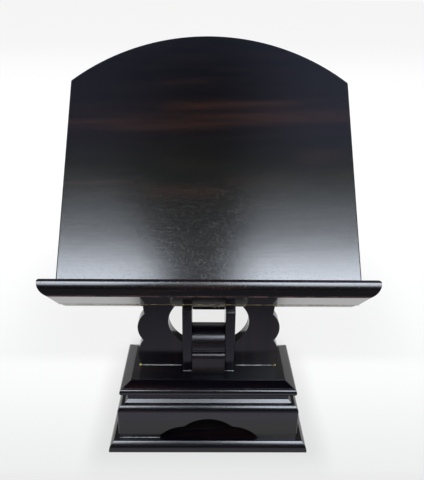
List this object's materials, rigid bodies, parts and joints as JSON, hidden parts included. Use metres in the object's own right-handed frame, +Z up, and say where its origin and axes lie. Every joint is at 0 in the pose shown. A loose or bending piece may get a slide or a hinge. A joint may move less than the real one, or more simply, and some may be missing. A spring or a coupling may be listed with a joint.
{
  "type": "tilted book stand",
  "caption": "Dark wooden stand that holds an open book, tablet or certificate on a tilted arched board above a moulded hollow base.",
  "frame": {"origin": "on the table surface, under the middle of the base", "axes": "+Z up, +Y away from the reader (the board leans back that way), +X to the reader's right"},
  "size_m": [0.138, 0.104, 0.1744],
  "materials": {
    "streaked_black_wood": "satin-gloss lacquer over near-black wood with faint reddish-brown streaks",
    "black_wood": "satin-gloss lacquer over near-black wood",
    "pale_wood": "bare, unlacquered",
    "screw_steel": "plain zinc-grey",
    "dried_glue": "thin amber beads of dried wood glue"
  },
  "bodies": {
    "root": {"reading_board": "streaked_black_wood", "book_ledge": "black_wood", "ledge_dowels": "pale_wood", "board_lug": "black_wood", "left_post": "black_wood", "right_post": "black_wood", "centre_block": "black_wood", "left_wing": "black_wood", "right_wing": "black_wood", "top_plate": "black_wood", "neck_board": "black_wood", "body_front": "black_wood", "body_back": "black_wood", "body_left": "black_wood", "body_right": "black_wood", "corner_blocks": "pale_wood", "plinth_front": "black_wood", "plinth_back": "black_wood", "plinth_left": "black_wood", "plinth_right": "black_wood", "bottom_board": "black_wood", "column_screws": "screw_steel"}
  },
  "joints": []
}
